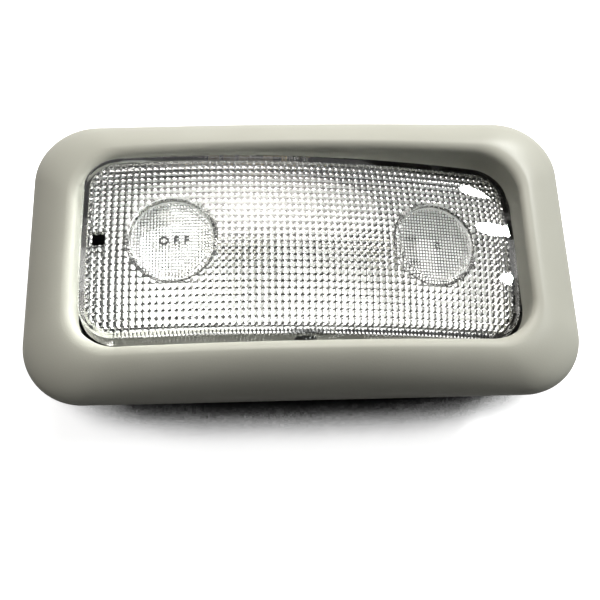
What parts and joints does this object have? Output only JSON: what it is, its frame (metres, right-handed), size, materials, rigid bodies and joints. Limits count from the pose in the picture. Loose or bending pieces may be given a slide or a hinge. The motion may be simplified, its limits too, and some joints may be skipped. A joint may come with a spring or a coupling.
{
  "type": "car dome light",
  "caption": "Oblong car ceiling lamp with a wide rolled bezel, a clear prismatic lens that rocks as its switch, a festoon bulb and a rear housing.",
  "frame": {"origin": "middle of the housing's back, on the surface that the lamp lies on", "axes": "+X along the lamp's length towards the side that switches it on, +Y across it towards the connector, +Z from the housing's back to the lens"},
  "size_m": [0.136, 0.0742, 0.0357],
  "materials": {
    "bezel_plastic": "satin, fine grain",
    "housing_plastic": "satin, dark grey",
    "carrier_plastic": "satin",
    "lens_clear": "clear, prismatic inside",
    "reflector_metal": "bright",
    "bulb_glass": "clear",
    "cap_metal": "satin nickel",
    "filament_metal": "dull",
    "brass": "satin",
    "spring_plated": "satin nickel over bronze",
    "spring_steel": "satin"
  },
  "bodies": {
    "housing": {"bezel": "bezel_plastic", "rear_housing": "housing_plastic", "reflector": "reflector_metal", "bulb_glass": "bulb_glass", "bulb_cap_left": "cap_metal", "bulb_cap_right": "cap_metal", "bulb_filament": "filament_metal", "bulb_spring_left": "spring_plated", "bulb_spring_right": "spring_plated", "contact_carrier": "carrier_plastic", "feed_terminal": "brass", "ground_terminal": "brass", "door_terminal": "brass", "link_strip": "brass", "switch_blade": "spring_plated", "contact_rivets": "brass", "detent_spring": "spring_steel", "mounting_clip_left": "spring_steel", "mounting_clip_right": "spring_steel"},
    "lens": {"lens_rocker": "lens_clear"}
  },
  "joints": [
    {"name": "lens_rock", "type": "hinge", "parent": "housing", "child": "lens", "pos_m": [0, 0, 0.024], "axis": [0, -1, 0], "range_deg": [0, 10], "deforming": ["detent_spring", "switch_blade"]}
  ]
}
